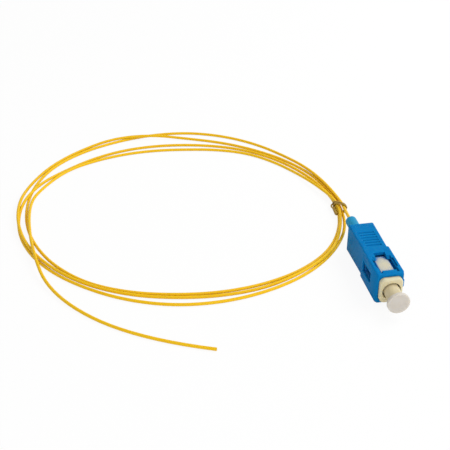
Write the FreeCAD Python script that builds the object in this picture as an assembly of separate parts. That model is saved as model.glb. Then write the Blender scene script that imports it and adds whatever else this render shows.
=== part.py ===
import FreeCAD, Part
import math
import os

# A fibre optic pigtail: a square push-pull plug on 0.9 mm buffered fibre, with the spare fibre in a coil.
# Millimetres. +X leaves the front of the plug along its axis, +Z is up, and Z = 0 is the resting surface.
# X = 0 lies on the resting face of the outer housing, midway between its shoulder and its latch window.

# Outer housing, the blue push-pull sleeve
HOUSING_WIDTH = 7.4
HOUSING_HEIGHT = 9.0
HOUSING_EDGE_RADIUS = 0.4
NOSE_LENGTH = 0.9
NOSE_TAPER = 0.25
SIDE_WALL = 0.6
TOP_WALL = 0.89
GRIP_LENGTH = 12.0
GRIP_STEP_SIDE = 0.3
GRIP_STEP_TOP = 0.3
GRIP_FLARE = 0.2
GRIP_WALL_SIDE = 0.6
GRIP_WALL_TOP = 0.6
GRIP_EDGE_RADIUS = 0.45
SHOULDER_LENGTH = 0.8
REST_LEDGE = 2.3
FRONT_BAR = 1.75
GRIP_BORE_RADIUS = 1.0
STEP_BEHIND_SHOULDER = 0.35
GROOVE_COUNT = 6
GROOVE_PITCH = 1.25
GROOVE_RADIUS = 0.34
GROOVE_DEPTH = 0.26
GROOVE_SPAN = 4.4
GROOVE_SETBACK = 4.7

# Latch window with its cam lobes, in the upper and the lower wall
WINDOW_LENGTH = 6.0
WINDOW_WIDTH = 5.1
THROAT_LENGTH = 2.3
THROAT_WIDTH = 3.1
LOBE_SLOPE = 0.7
CAM_LENGTH = 3.2
CAM_SETBACK = 0.5
CAM_RAMP = 0.9
CAM_SIDE = 0.4
CAM_DEPTH = 0.55
NOTCH_LENGTH = 0.95
NOTCH_WIDTH = 0.65
NOTCH_DEPTH = 0.6

# Slot in the left wall, key and its inner groove on the right wall
SLOT_LENGTH = 6.2
SLOT_HEIGHT = 3.2
SLOT_BEHIND_FRONT = 4.9
KEY_WIDTH = 2.0
KEY_HEIGHT = 0.7
KEY_LENGTH = 8.4
KEY_BEHIND_FRONT = 0.9
KEY_RAMP = 0.6
LUG_LENGTH = 3.0
LUG_WIDTH = 1.0
LUG_HEIGHT = 0.4
LUG_ROOT = 0.2
SLEEVE_TRAVEL = 1.0
SLIDE_GAP = 0.06
STOP_MARGIN = 0.24

# Plug frame, the ivory inner body
FRAME_EDGE_RADIUS = 1.4
FRAME_PROTRUSION = 1.35
FRAME_CHAMFER = 0.3
FRAME_TAIL_GAP_SIDE = 0.1
FRAME_TAIL_GAP_TOP = 0.4
FRAME_TAIL_RADIUS = 0.9
FRAME_TAIL_LENGTH = 7.4
SOCKET_DIAMETER = 5.0
SOCKET_DEPTH = 5.6
SEAT_WALL = 1.4
SEAT_HOLE_DIAMETER = 3.5
HEX_SEAT_DEPTH = 1.4
SPRING_BORE_DIAMETER = 4.9
LATCH_STEP = 0.65
LATCH_SIDE_GAP = 0.45
LATCH_FRONT_GAP = 0.2
LATCH_REAR_GAP = 0.1
NECK_SIDE_GAP = 0.15
NECK_REAR_GAP = 0.4
LATCH_CHAMFER = 0.35
DECK_AHEAD = 1.0
FLANK_WINDOW_INSET = 0.3
FLANK_WINDOW_LIP = 0.1

# Ferrule, its holder, the spring and the stop ring
FERRULE_DIAMETER = 2.5
FERRULE_LENGTH = 10.5
FERRULE_PROTRUSION = 1.2
FERRULE_CHAMFER = 0.3
FERRULE_CHAMFER_LENGTH = 0.5
FERRULE_FUNNEL_DIAMETER = 0.9
FERRULE_FUNNEL_LENGTH = 0.9
FERRULE_TRAVEL = 1.2
GLASS_DIAMETER = 0.125
BUFFER_DIAMETER = 0.9
HOLDER_HEX = 4.0
HOLDER_HEX_LENGTH = 2.2
HOLDER_NECK_DIAMETER = 3.1
HOLDER_NECK_LENGTH = 0.8
HOLDER_TUBE_DIAMETER = 2.6
HOLDER_TUBE_LENGTH = 5.3
HOLDER_CLEARANCE = 0.05
SEAT_GAP = 0.02
SPRING_WIRE = 0.45
SPRING_DIAMETER = 4.25
SPRING_TURNS = 4.0
SPRING_WIRE_SIDES = 6
SPRING_LENGTH = 7.0
GUIDE_DIAMETER = 1.5
GUIDE_BORE = 1.0
GUIDE_DEPTH = 3.9
GUIDE_LENGTH = 12.5
STOP_SPIGOT_DIAMETER = 4.8
STOP_COLLAR_DIAMETER = 5.2
STOP_COLLAR_LENGTH = 0.9
STOP_BARREL_DIAMETER = 3.4
STOP_BARREL_LENGTH = 4.5
STOP_BORE = 1.8
BARB_LENGTH = 1.0
BARB_WIDTH = 1.6
BARB_HEIGHT = 0.28
BARB_ROOT = 0.5
BARB_AHEAD = 1.0
BARB_CLEARANCE = 0.1

# Boot and dust cap
BOOT_DIAMETER = 3.2
BOOT_REACH = 8.6
BOOT_SKIRT_DIAMETER = 5.0
BOOT_TAPER_LENGTH = 1.4
BOOT_BORE = 1.0
BOOT_END_BEVEL = 0.3
FIBRE_IN_BOOT = 4.0
CAP_STEM_DIAMETER = 4.2
CAP_STEM_DEPTH = 4.0
CAP_REACH = 5.6
CAP_HEAD_DIAMETER = 6.0
CAP_HEAD_THICKNESS = 1.0
CAP_BEVEL = 0.2
CAP_CLEARANCE = 0.05

# Coil of spare fibre, lying on the surface, and the wire tie that holds it
COIL_BEHIND_BOOT = 23.85
COIL_ASIDE = 45.5
TIE_BEARING = 77.6
COIL_HEIGHT = 2.0
COIL_OUTER_TIE = 48.2
COIL_OUTER_FAR = 49.6
COIL_OUTER_SIDE = 51.0
COIL_INNER_TIE = 46.2
COIL_INNER_FAR = 45.0
COIL_INNER_BACK = 36.7
COIL_INNER_FRONT = 44.2
TIE_WIRE = 0.8
TIE_GAP = 0.05
TIE_CORNER = 0.7
TIE_TAIL_LENGTH = 5.5
TIE_TAIL_DIAMETER = 1.3
TIE_TAIL_LEAN = 0.1

# Share of the shorter run that the arc at a bend takes up
ARC_SHARE = 0.45

# How far a cutting shape runs past the face that it cuts
CUT_PAST = 1.0

# Places along the plug, worked out from the sizes above
AXIS_HEIGHT = HOUSING_HEIGHT / 2
FRAME_WIDTH = HOUSING_WIDTH - 2 * SIDE_WALL - 2 * SLIDE_GAP
FRAME_HEIGHT = HOUSING_HEIGHT - 2 * TOP_WALL - 2 * SLIDE_GAP
CAVITY_WIDTH = FRAME_WIDTH + 2 * SLIDE_GAP
CAVITY_HEIGHT = FRAME_HEIGHT + 2 * SLIDE_GAP
GRIP_WIDTH = HOUSING_WIDTH - 2 * GRIP_STEP_SIDE
GRIP_HEIGHT = HOUSING_HEIGHT - 2 * GRIP_STEP_TOP
GRIP_BORE_WIDTH = GRIP_WIDTH - 2 * GRIP_WALL_SIDE
GRIP_BORE_HEIGHT = GRIP_HEIGHT - 2 * GRIP_WALL_TOP
FRAME_TAIL_WIDTH = GRIP_BORE_WIDTH - 2 * FRAME_TAIL_GAP_SIDE
FRAME_TAIL_HEIGHT = GRIP_BORE_HEIGHT - 2 * FRAME_TAIL_GAP_TOP
SHOULDER_FRONT = -REST_LEDGE / 2
GRIP_FRONT = SHOULDER_FRONT - SHOULDER_LENGTH
HOUSING_REAR = GRIP_FRONT - GRIP_LENGTH
CAVITY_STEP = SHOULDER_FRONT - STEP_BEHIND_SHOULDER
THROAT_REAR = REST_LEDGE / 2
WINDOW_REAR = THROAT_REAR + THROAT_LENGTH
WINDOW_FRONT = WINDOW_REAR + WINDOW_LENGTH
HOUSING_FRONT = WINDOW_FRONT + FRONT_BAR
KEY_FRONT = HOUSING_FRONT - KEY_BEHIND_FRONT
KEY_MIDDLE = KEY_FRONT - KEY_LENGTH / 2
SLOT_FRONT = HOUSING_FRONT - SLOT_BEHIND_FRONT
SLOT_REAR = SLOT_FRONT - SLOT_LENGTH
FRAME_FRONT = HOUSING_FRONT + FRAME_PROTRUSION
HEAD_REAR = CAVITY_STEP + SLEEVE_TRAVEL + STOP_MARGIN
FRAME_REAR = HEAD_REAR - FRAME_TAIL_LENGTH
SOCKET_FLOOR = FRAME_FRONT - SOCKET_DEPTH
SEAT_FACE = SOCKET_FLOOR - SEAT_WALL
LATCH_FRONT = WINDOW_FRONT - LATCH_FRONT_GAP
LATCH_REAR = WINDOW_REAR + LATCH_REAR_GAP
NECK_REAR = THROAT_REAR + NECK_REAR_GAP
FRAME_TOP = AXIS_HEIGHT + FRAME_HEIGHT / 2
FERRULE_TIP = FRAME_FRONT + FERRULE_PROTRUSION
FERRULE_REAR = FERRULE_TIP - FERRULE_LENGTH
HEX_FRONT = SEAT_FACE - SEAT_GAP
HEX_REAR = HEX_FRONT - HOLDER_HEX_LENGTH
HOLDER_REAR = HEX_REAR - HOLDER_TUBE_LENGTH
GUIDE_FRONT = HOLDER_REAR + GUIDE_DEPTH
GUIDE_REAR = GUIDE_FRONT - GUIDE_LENGTH
STOP_FRONT = HEX_REAR - SPRING_LENGTH - 2 * SEAT_GAP
STOP_COLLAR_REAR = FRAME_REAR - STOP_COLLAR_LENGTH
STOP_REAR = STOP_COLLAR_REAR - STOP_BARREL_LENGTH
BARB_REAR = FRAME_REAR + BARB_AHEAD
BOOT_REAR = HOUSING_REAR - BOOT_REACH
CAP_FRONT = FRAME_FRONT + CAP_REACH
CAP_MOUTH = FRAME_FRONT - CAP_STEM_DEPTH
STUB_FRONT = FERRULE_REAR - FERRULE_FUNNEL_LENGTH
STUB_REAR = BOOT_REAR + FIBRE_IN_BOOT + FERRULE_TRAVEL + STOP_MARGIN
COIL_X = BOOT_REAR - COIL_BEHIND_BOOT
COIL_Y = -COIL_ASIDE
FIBRE_LIES = BUFFER_DIAMETER / 2

# Points of the fibre where it is not coiled: out of the boot to the tie, and from the coil to the cut end
LEAD_POINTS = [
    (BOOT_REAR + FIBRE_IN_BOOT, 0.0, AXIS_HEIGHT),
    (BOOT_REAR - 1.0, 0.0, AXIS_HEIGHT),
    (BOOT_REAR - 7.6, 0.3, AXIS_HEIGHT - 1.1),
    (BOOT_REAR - 13.1, 1.1, COIL_HEIGHT - 0.7),
]
TAIL_POINTS = [
    (COIL_X + 17.1, COIL_Y - 44.9, COIL_HEIGHT - 0.9),
    (COIL_X + 39.2, COIL_Y - 41.2, FIBRE_LIES),
    (COIL_X + 61.0, COIL_Y - 21.2, FIBRE_LIES),
    (COIL_X + 68.5, COIL_Y - 2.0, FIBRE_LIES),
]


def box(x_low, x_high, y_low, y_high, z_low, z_high):
    corner = FreeCAD.Vector(x_low, y_low, z_low)
    return Part.makeBox(x_high - x_low, y_high - y_low, z_high - z_low, corner)


def rod(x_low, x_high, diameter):
    start = FreeCAD.Vector(x_low, 0, AXIS_HEIGHT)
    return Part.makeCylinder(diameter / 2, x_high - x_low, start, FreeCAD.Vector(1, 0, 0))


def section(x, width, height, radius):
    """Rounded rectangle square to the plug's axis."""
    y = width / 2 - radius
    z = height / 2 - radius
    centres = [(y, z), (-y, z), (-y, -z), (y, -z)]
    corners = []
    for turn, (across, up) in enumerate(centres):
        ends = []
        for half_step in (0, 1, 2):
            angle = math.pi / 2 * turn + math.pi / 4 * half_step
            y_end = across + radius * math.cos(angle)
            z_end = up + radius * math.sin(angle)
            ends.append(FreeCAD.Vector(x, y_end, AXIS_HEIGHT + z_end))
        corners.append(ends)
    edges = []
    for turn, ends in enumerate(corners):
        edges.append(Part.Arc(*ends).toShape())
        edges.append(Part.LineSegment(ends[2], corners[(turn + 1) % 4][0]).toShape())
    return Part.Wire(edges)


def prism(x_low, x_high, width, height, radius):
    face = Part.Face(section(x_low, width, height, radius))
    return face.extrude(FreeCAD.Vector(x_high - x_low, 0, 0))


def ruled(first, second):
    """Straight taper from one section to the next."""
    return Part.makeLoft([first, second], True, True)


def turned(profile):
    """Solid of revolution about the plug's axis, from (x, radius) corners."""
    points = [FreeCAD.Vector(x, 0, AXIS_HEIGHT + radius) for x, radius in profile]
    face = Part.Face(Part.makePolygon(points + points[:1]))
    return face.revolve(FreeCAD.Vector(0, 0, AXIS_HEIGHT), FreeCAD.Vector(1, 0, 0), 360)


def plate(outline, y_low, y_high):
    """Side view outline of (x, z) corners, pulled out across the plug."""
    points = [FreeCAD.Vector(x, y_low, z) for x, z in outline]
    face = Part.Face(Part.makePolygon(points + points[:1]))
    return face.extrude(FreeCAD.Vector(0, y_high - y_low, 0))


def slab(outline, z_low, z_high):
    """Top view outline of (x, y) corners, pulled upwards."""
    points = [FreeCAD.Vector(x, y, z_low) for x, y in outline]
    face = Part.Face(Part.makePolygon(points + points[:1]))
    return face.extrude(FreeCAD.Vector(0, 0, z_high - z_low))


def upper_and_lower(shape):
    """The shape and its mirror image below the plug's axis."""
    below = shape.mirror(FreeCAD.Vector(0, 0, AXIS_HEIGHT), FreeCAD.Vector(0, 0, 1))
    return [shape, below]


def left_and_right(shape):
    """The shape and its mirror image across the plug."""
    return [shape, shape.mirror(FreeCAD.Vector(0, 0, 0), FreeCAD.Vector(0, 1, 0))]


def housing_outside():
    flared_end = (GRIP_WIDTH + 2 * GRIP_FLARE, GRIP_HEIGHT, GRIP_EDGE_RADIUS)
    grip_end = (GRIP_WIDTH, GRIP_HEIGHT, GRIP_EDGE_RADIUS)
    body_end = (HOUSING_WIDTH, HOUSING_HEIGHT, HOUSING_EDGE_RADIUS)
    nose_end = (HOUSING_WIDTH - 2 * NOSE_TAPER, HOUSING_HEIGHT - 2 * NOSE_TAPER, HOUSING_EDGE_RADIUS)
    nose_rear = HOUSING_FRONT - NOSE_LENGTH
    grip = ruled(section(HOUSING_REAR, *flared_end), section(GRIP_FRONT, *grip_end))
    shoulder = ruled(section(GRIP_FRONT, *grip_end), section(SHOULDER_FRONT, *body_end))
    body = prism(SHOULDER_FRONT, nose_rear, *body_end)
    nose = ruled(section(nose_rear, *body_end), section(HOUSING_FRONT, *nose_end))
    return grip.fuse([shoulder, body, nose])


def housing_cavity():
    front_radius = FRAME_EDGE_RADIUS + SLIDE_GAP
    front = prism(CAVITY_STEP, HOUSING_FRONT + CUT_PAST, CAVITY_WIDTH, CAVITY_HEIGHT, front_radius)
    rear = prism(HOUSING_REAR - CUT_PAST, CAVITY_STEP, GRIP_BORE_WIDTH, GRIP_BORE_HEIGHT, GRIP_BORE_RADIUS)
    return [front, rear]


def latch_window():
    """Opening for the latch arms, with two cam lobes behind it and a ramped pocket along each side."""
    top = HOUSING_HEIGHT
    above = top + CUT_PAST
    inside = top - TOP_WALL - CUT_PAST / 2
    half = WINDOW_WIDTH / 2
    opening = box(WINDOW_REAR, WINDOW_FRONT, -half, half, inside, above)
    throat = box(THROAT_REAR, WINDOW_REAR, -THROAT_WIDTH / 2, THROAT_WIDTH / 2, inside, above)
    slope_end = WINDOW_REAR - LOBE_SLOPE * (TOP_WALL + CUT_PAST) / TOP_WALL
    slope = [(WINDOW_REAR, top - TOP_WALL), (WINDOW_REAR, above), (slope_end, above)]
    lobe_faces = plate(slope, -half, half)
    cam_rear = WINDOW_REAR + CAM_SETBACK
    cam_front = cam_rear + CAM_LENGTH
    ramp_front = cam_front + CAM_RAMP
    floor = top - CAM_DEPTH
    cam = [(cam_rear, floor), (cam_front, floor), (ramp_front, top), (ramp_front, above), (cam_rear, above)]
    cam_pockets = plate(cam, -half - CAM_SIDE, half + CAM_SIDE)
    notch_front = WINDOW_FRONT + NOTCH_LENGTH
    notch = box(WINDOW_FRONT, notch_front, half - NOTCH_WIDTH, half, top - NOTCH_DEPTH, above)
    return opening.fuse([throat, lobe_faces, cam_pockets] + left_and_right(notch))


def grip_grooves():
    grooves = []
    for number in range(GROOVE_COUNT):
        x = HOUSING_REAR + GROOVE_SETBACK + number * GROOVE_PITCH
        z = AXIS_HEIGHT + GRIP_HEIGHT / 2 - GROOVE_DEPTH + GROOVE_RADIUS
        start = FreeCAD.Vector(x, -GROOVE_SPAN / 2, z)
        groove = Part.makeCylinder(GROOVE_RADIUS, GROOVE_SPAN, start, FreeCAD.Vector(0, 1, 0))
        grooves.extend(upper_and_lower(groove))
    return grooves


def housing_key():
    """Polarising rib on the right wall, with ramped ends."""
    root = HOUSING_WIDTH / 2
    rear = KEY_FRONT - KEY_LENGTH
    corners = [(rear, root), (rear + KEY_RAMP, root + KEY_HEIGHT),
               (KEY_FRONT - KEY_RAMP, root + KEY_HEIGHT), (KEY_FRONT, root),
               (KEY_FRONT, CAVITY_WIDTH / 2), (rear, CAVITY_WIDTH / 2)]
    return slab(corners, AXIS_HEIGHT - KEY_WIDTH / 2, AXIS_HEIGHT + KEY_WIDTH / 2)


def lug_block(lengthwise, around):
    """Retaining lug on the right flank of the frame, grown lengthwise and all round for its groove."""
    half_length = LUG_LENGTH / 2 + lengthwise
    half_width = LUG_WIDTH / 2 + around
    inner = FRAME_WIDTH / 2 - LUG_ROOT
    outer = FRAME_WIDTH / 2 + LUG_HEIGHT + around
    return box(KEY_MIDDLE - half_length, KEY_MIDDLE + half_length, inner, outer,
               AXIS_HEIGHT - half_width, AXIS_HEIGHT + half_width)


def outer_housing():
    side_slot = box(SLOT_REAR, SLOT_FRONT, -HOUSING_WIDTH, 0,
                    AXIS_HEIGHT - SLOT_HEIGHT / 2, AXIS_HEIGHT + SLOT_HEIGHT / 2)
    lug_groove = lug_block(SLEEVE_TRAVEL + SLIDE_GAP, SLIDE_GAP)
    cuts = housing_cavity() + upper_and_lower(latch_window()) + grip_grooves() + [side_slot, lug_groove]
    return housing_outside().fuse(housing_key()).cut(cuts).removeSplitter()


def frame_outside():
    head_end = (FRAME_WIDTH, FRAME_HEIGHT, FRAME_EDGE_RADIUS)
    lip_end = (FRAME_WIDTH - 2 * FRAME_CHAMFER, FRAME_HEIGHT - 2 * FRAME_CHAMFER,
               FRAME_EDGE_RADIUS - FRAME_CHAMFER)
    lip_rear = FRAME_FRONT - FRAME_CHAMFER
    head = prism(HEAD_REAR, lip_rear, *head_end)
    lip = ruled(section(lip_rear, *head_end), section(FRAME_FRONT, *lip_end))
    tail = prism(FRAME_REAR, HEAD_REAR, FRAME_TAIL_WIDTH, FRAME_TAIL_HEIGHT, FRAME_TAIL_RADIUS)
    return head.fuse([lip, tail, lug_block(0, 0)])


def latch_block():
    """Raised block that the latch arms snap behind: wide in front, drawn in to a narrow rear edge."""
    wide = WINDOW_WIDTH / 2 - LATCH_SIDE_GAP
    narrow = THROAT_WIDTH / 2 - NECK_SIDE_GAP
    half_plan = [(LATCH_FRONT, wide), (LATCH_REAR, wide), (NECK_REAR, narrow)]
    plan = half_plan + [(x, -y) for x, y in reversed(half_plan)]
    block = slab(plan, FRAME_TOP - LATCH_STEP, FRAME_TOP)
    top_edges = [edge for edge in block.Edges if edge.BoundBox.ZMin > FRAME_TOP - LATCH_STEP / 2]
    return block.makeChamfer(LATCH_CHAMFER, top_edges)


def latch_deck():
    """Lowered deck round the latch block, open to the rear of the frame's head."""
    deck = box(HEAD_REAR, LATCH_FRONT + DECK_AHEAD, -FRAME_WIDTH, FRAME_WIDTH,
               FRAME_TOP - LATCH_STEP, FRAME_TOP + CUT_PAST)
    return deck.cut(latch_block())


def hexagon(x_low, x_high, across_flats):
    radius = across_flats / math.sqrt(3)
    corners = []
    for number in range(6):
        angle = math.pi / 3 * number
        y = radius * math.sin(angle)
        z = radius * math.cos(angle)
        corners.append(FreeCAD.Vector(x_low, y, AXIS_HEIGHT + z))
    face = Part.Face(Part.makePolygon(corners + corners[:1]))
    return face.extrude(FreeCAD.Vector(x_high - x_low, 0, 0))


def frame_bores():
    socket = rod(SOCKET_FLOOR, FRAME_FRONT + CUT_PAST, SOCKET_DIAMETER)
    hole = rod(SEAT_FACE, SOCKET_FLOOR, SEAT_HOLE_DIAMETER)
    hex_seat = hexagon(SEAT_FACE - HEX_SEAT_DEPTH, SEAT_FACE, HOLDER_HEX + 2 * HOLDER_CLEARANCE)
    spring_bore = rod(FRAME_REAR - CUT_PAST, SEAT_FACE - HEX_SEAT_DEPTH, SPRING_BORE_DIAMETER)
    return [socket, hole, hex_seat, spring_bore]


def flank_windows():
    """Opening behind the housing's side slot, and one hole in each flank for the stop ring's barbs."""
    inside = SEAT_HOLE_DIAMETER / 4
    half = SLOT_HEIGHT / 2 - FLANK_WINDOW_LIP
    side = box(SLOT_REAR + FLANK_WINDOW_INSET, SLOT_FRONT - FLANK_WINDOW_INSET, -FRAME_WIDTH, -inside,
               AXIS_HEIGHT - half, AXIS_HEIGHT + half)
    half_barb = BARB_WIDTH / 2 + BARB_CLEARANCE
    barb_hole = box(BARB_REAR - BARB_CLEARANCE, BARB_REAR + BARB_LENGTH + BARB_CLEARANCE, inside, FRAME_WIDTH,
                    AXIS_HEIGHT - half_barb, AXIS_HEIGHT + half_barb)
    return [side] + left_and_right(barb_hole)


def plug_frame():
    cuts = upper_and_lower(latch_deck()) + frame_bores() + flank_windows()
    return frame_outside().cut(cuts).removeSplitter()


def ferrule():
    radius = FERRULE_DIAMETER / 2
    capillary = GLASS_DIAMETER / 2
    funnel_end = FERRULE_REAR + FERRULE_FUNNEL_LENGTH
    return turned([
        (FERRULE_REAR, FERRULE_FUNNEL_DIAMETER / 2),
        (FERRULE_REAR, radius),
        (FERRULE_TIP - FERRULE_CHAMFER_LENGTH, radius),
        (FERRULE_TIP, radius - FERRULE_CHAMFER),
        (FERRULE_TIP, capillary),
        (funnel_end, capillary),
    ])


def ferrule_flange():
    """Holder with a front neck, a hexagonal collar that can't turn, and a rear tube inside the spring."""
    neck = rod(HEX_FRONT, HEX_FRONT + HOLDER_NECK_LENGTH, HOLDER_NECK_DIAMETER)
    collar = hexagon(HEX_REAR, HEX_FRONT, HOLDER_HEX)
    tube = rod(HOLDER_REAR, HEX_REAR, HOLDER_TUBE_DIAMETER)
    ferrule_pocket = rod(FERRULE_REAR, FERRULE_TIP, FERRULE_DIAMETER)
    fibre_hole = rod(GUIDE_FRONT, FERRULE_REAR, BUFFER_DIAMETER + 2 * HOLDER_CLEARANCE)
    guide_hole = rod(HOLDER_REAR - CUT_PAST, GUIDE_FRONT, GUIDE_DIAMETER)
    return collar.fuse([neck, tube]).cut([ferrule_pocket, fibre_hole, guide_hole]).removeSplitter()


def ferrule_spring():
    """Compression spring between the holder's collar and the stop ring."""
    radius = (SPRING_DIAMETER - SPRING_WIRE) / 2
    rise = SPRING_LENGTH - SPRING_WIRE
    helix = Part.makeHelix(rise / SPRING_TURNS, rise, radius)
    corners = []
    for number in range(SPRING_WIRE_SIDES):
        angle = 2 * math.pi * number / SPRING_WIRE_SIDES
        outward = SPRING_WIRE / 2 * math.sin(angle)
        upward = SPRING_WIRE / 2 * math.cos(angle)
        corners.append(FreeCAD.Vector(radius + outward, 0, upward))
    wire_end = Part.makePolygon(corners + corners[:1])
    coil = Part.Wire(helix.Edges).makePipeShell([wire_end], True, True)
    coil.rotate(FreeCAD.Vector(0, 0, 0), FreeCAD.Vector(0, 1, 0), 90)
    coil.translate(FreeCAD.Vector(STOP_FRONT + SEAT_GAP + SPRING_WIRE / 2, 0, AXIS_HEIGHT))
    return coil


def stop_barb():
    """Wedge on the spigot that snaps into the hole in the frame's flank."""
    surface = STOP_SPIGOT_DIAMETER / 2
    barb_front = BARB_REAR + BARB_LENGTH
    wedge = [(BARB_REAR, surface - BARB_ROOT), (BARB_REAR, surface + BARB_HEIGHT),
             (barb_front, surface), (barb_front, surface - BARB_ROOT)]
    return slab(wedge, AXIS_HEIGHT - BARB_WIDTH / 2, AXIS_HEIGHT + BARB_WIDTH / 2)


def stop_ring():
    body = turned([
        (STOP_FRONT, STOP_BORE / 2),
        (STOP_FRONT, STOP_SPIGOT_DIAMETER / 2),
        (FRAME_REAR, STOP_SPIGOT_DIAMETER / 2),
        (FRAME_REAR, STOP_COLLAR_DIAMETER / 2),
        (STOP_COLLAR_REAR, STOP_COLLAR_DIAMETER / 2),
        (STOP_COLLAR_REAR, STOP_BARREL_DIAMETER / 2),
        (STOP_REAR, STOP_BARREL_DIAMETER / 2),
        (STOP_REAR, STOP_BORE / 2),
    ])
    return body.fuse(left_and_right(stop_barb())).removeSplitter()


def guide_tube():
    return rod(GUIDE_REAR, GUIDE_FRONT, GUIDE_DIAMETER).cut(rod(GUIDE_REAR, GUIDE_FRONT, GUIDE_BORE))


def buffer_stub():
    return rod(STUB_REAR, STUB_FRONT, BUFFER_DIAMETER)


def bare_fibre():
    return rod(STUB_FRONT, FERRULE_TIP, GLASS_DIAMETER)


def boot():
    """Skirt over the stop ring's barrel, a taper, and a slim neck round the fibre."""
    neck = BOOT_DIAMETER / 2
    skirt = BOOT_SKIRT_DIAMETER / 2
    barrel = STOP_BARREL_DIAMETER / 2
    bore = BOOT_BORE / 2
    neck_front = STOP_REAR - BOOT_TAPER_LENGTH
    return turned([
        (STOP_COLLAR_REAR, barrel),
        (STOP_COLLAR_REAR, skirt),
        (STOP_REAR, skirt),
        (neck_front, neck),
        (BOOT_REAR + BOOT_END_BEVEL, neck),
        (BOOT_REAR, neck - BOOT_END_BEVEL),
        (BOOT_REAR, bore),
        (neck_front, bore),
        (STOP_REAR, GUIDE_DIAMETER / 2),
        (STOP_REAR, barrel),
    ])


def dust_cap():
    """Hollow stem over the ferrule, closed by a flat round head."""
    stem = CAP_STEM_DIAMETER / 2
    head = CAP_HEAD_DIAMETER / 2
    bore = FERRULE_DIAMETER / 2 + CAP_CLEARANCE
    head_rear = CAP_FRONT - CAP_HEAD_THICKNESS
    return turned([
        (CAP_MOUTH, bore),
        (CAP_MOUTH, stem - CAP_BEVEL),
        (CAP_MOUTH + CAP_BEVEL, stem),
        (head_rear, stem),
        (head_rear, head - CAP_BEVEL),
        (head_rear + CAP_BEVEL, head),
        (CAP_FRONT - CAP_BEVEL, head),
        (CAP_FRONT, head - CAP_BEVEL),
        (CAP_FRONT, 0),
        (head_rear, 0),
        (head_rear, bore),
    ])


def fibre_tube(name, route):
    """Round tube along straight runs that are joined by tangent arcs, each as large as its runs allow."""
    points = [FreeCAD.Vector(*point) for point in route]
    edges = []
    radii = []
    last = points[0]
    for before, corner, after in zip(points, points[1:], points[2:]):
        back = (before - corner).normalize()
        ahead = (after - corner).normalize()
        half_turn = (math.pi - back.getAngle(ahead)) / 2
        reach = ARC_SHARE * min(before.distanceToPoint(corner), corner.distanceToPoint(after))
        radius = reach / math.tan(half_turn)
        radii.append(round(radius, 1))
        start = corner + back * reach
        end = corner + ahead * reach
        inward = (back + ahead).normalize()
        middle = corner + inward * (radius / math.cos(half_turn) - radius)
        edges.append(Part.LineSegment(last, start).toShape())
        edges.append(Part.Arc(start, middle, end).toShape())
        last = end
    edges.append(Part.LineSegment(last, points[-1]).toShape())
    path = Part.Wire(edges)
    ring = Part.Wire(Part.makeCircle(BUFFER_DIAMETER / 2, points[0], points[1] - points[0]))
    tube = path.makePipeShell([ring], True, False)
    plain_volume = math.pi * BUFFER_DIAMETER ** 2 / 4 * path.Length
    print(name, "radii", radii, "length", round(path.Length, 1))
    print(name, "volume over section times length", round(tube.Volume / plain_volume, 4))
    return tube


def placed_on_coil(shape):
    """Moves a shape from the coil's own frame, with X towards the tie, to its place beside the plug."""
    shape.rotate(FreeCAD.Vector(0, 0, 0), FreeCAD.Vector(0, 0, 1), TIE_BEARING)
    shape.translate(FreeCAD.Vector(COIL_X, COIL_Y, 0))
    return shape


def half_ellipse(near, far, side, first):
    """Half an oval that crosses the tie's axis at near and -far, from the first angle on."""
    middle = FreeCAD.Vector((near - far) / 2, 0, 0)
    along = (near + far) / 2
    if along >= side:
        oval = Part.Ellipse(middle, along, side)
        return Part.ArcOfEllipse(oval, first, first + math.pi).toShape()
    major = middle + FreeCAD.Vector(0, side, 0)
    minor = middle - FreeCAD.Vector(along, 0, 0)
    oval = Part.Ellipse(major, minor, middle)
    return Part.ArcOfEllipse(oval, first - math.pi / 2, first + math.pi / 2).toShape()


def fibre_coil():
    """Outer shape of the loose turns: a flat ring, narrow at the tie and fanned out at the back."""
    outer = [half_ellipse(COIL_OUTER_TIE, COIL_OUTER_FAR, COIL_OUTER_SIDE, 0),
             half_ellipse(COIL_OUTER_TIE, COIL_OUTER_FAR, COIL_OUTER_SIDE, math.pi)]
    inner = [half_ellipse(COIL_INNER_TIE, COIL_INNER_FAR, COIL_INNER_BACK, 0),
             half_ellipse(COIL_INNER_TIE, COIL_INNER_FAR, COIL_INNER_FRONT, math.pi)]
    up = FreeCAD.Vector(0, 0, COIL_HEIGHT)
    disc = Part.Face(Part.Wire(outer)).extrude(up)
    hole = Part.Face(Part.Wire(inner)).extrude(up)
    half_groove = TIE_WIRE / 2 + TIE_GAP
    tie_groove = box(COIL_INNER_TIE - CUT_PAST, COIL_OUTER_TIE + CUT_PAST, -half_groove, half_groove,
                     -CUT_PAST, TIE_WIRE + TIE_GAP)
    return placed_on_coil(disc.cut([hole, tie_groove]))


def wire_tie():
    """Coated wire once round the bundle, with its twisted end laid along the inside of the coil."""
    inner_low = COIL_INNER_TIE - TIE_GAP
    inner_high = COIL_OUTER_TIE + TIE_GAP
    half = TIE_WIRE / 2
    inner_top = COIL_HEIGHT + TIE_GAP
    outer = box(inner_low - TIE_WIRE, inner_high + TIE_WIRE, -half, half, 0, inner_top + TIE_WIRE)
    corners = [edge for edge in outer.Edges if edge.BoundBox.YLength > TIE_WIRE / 2]
    outer = outer.makeFillet(TIE_CORNER, corners)
    inner = box(inner_low, inner_high, -half, half, TIE_WIRE, inner_top)
    start = FreeCAD.Vector(inner_low - TIE_TAIL_DIAMETER / 2, 0, TIE_WIRE)
    way = FreeCAD.Vector(-TIE_TAIL_LEAN, -1, 0)
    twist = Part.makeCylinder(TIE_TAIL_DIAMETER / 2, TIE_TAIL_LENGTH, start, way)
    return placed_on_coil(outer.cut(inner).fuse(twist).cut(inner).removeSplitter())


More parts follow.
